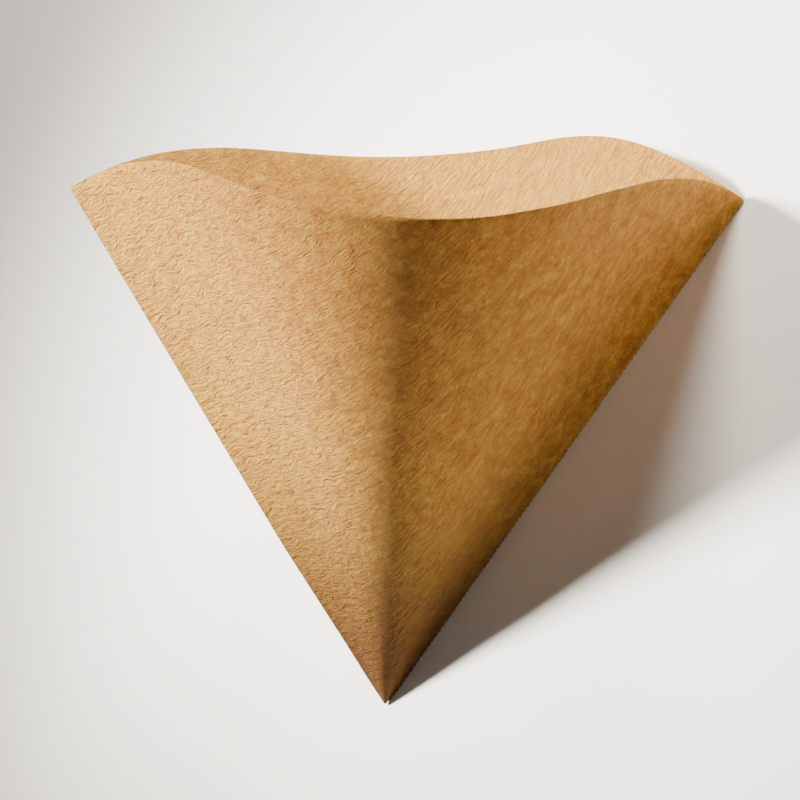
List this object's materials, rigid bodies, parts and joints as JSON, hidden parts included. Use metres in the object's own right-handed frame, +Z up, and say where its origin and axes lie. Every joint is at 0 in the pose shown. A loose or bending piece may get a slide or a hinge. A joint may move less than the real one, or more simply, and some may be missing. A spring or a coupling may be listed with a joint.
{
  "type": "paper coffee filter",
  "caption": "Cone coffee filter folded from one sheet of brown creped paper and opened for use, with a crimped side seam, an arc-cut wavy mouth and a pressed tip.",
  "frame": {"origin": "bottom centre of the bounding box, on the floor that the filter lies on", "axes": "+Z up from the floor; +X along the floor, roughly from the tip to the open mouth; +Y along the floor, from the front panel to the back panel"},
  "size_m": [0.1238, 0.1168, 0.0938],
  "materials": {
    "filter_paper": "matte unbleached creped paper"
  },
  "bodies": {
    "root": {"filter_cone": "filter_paper"}
  },
  "joints": []
}
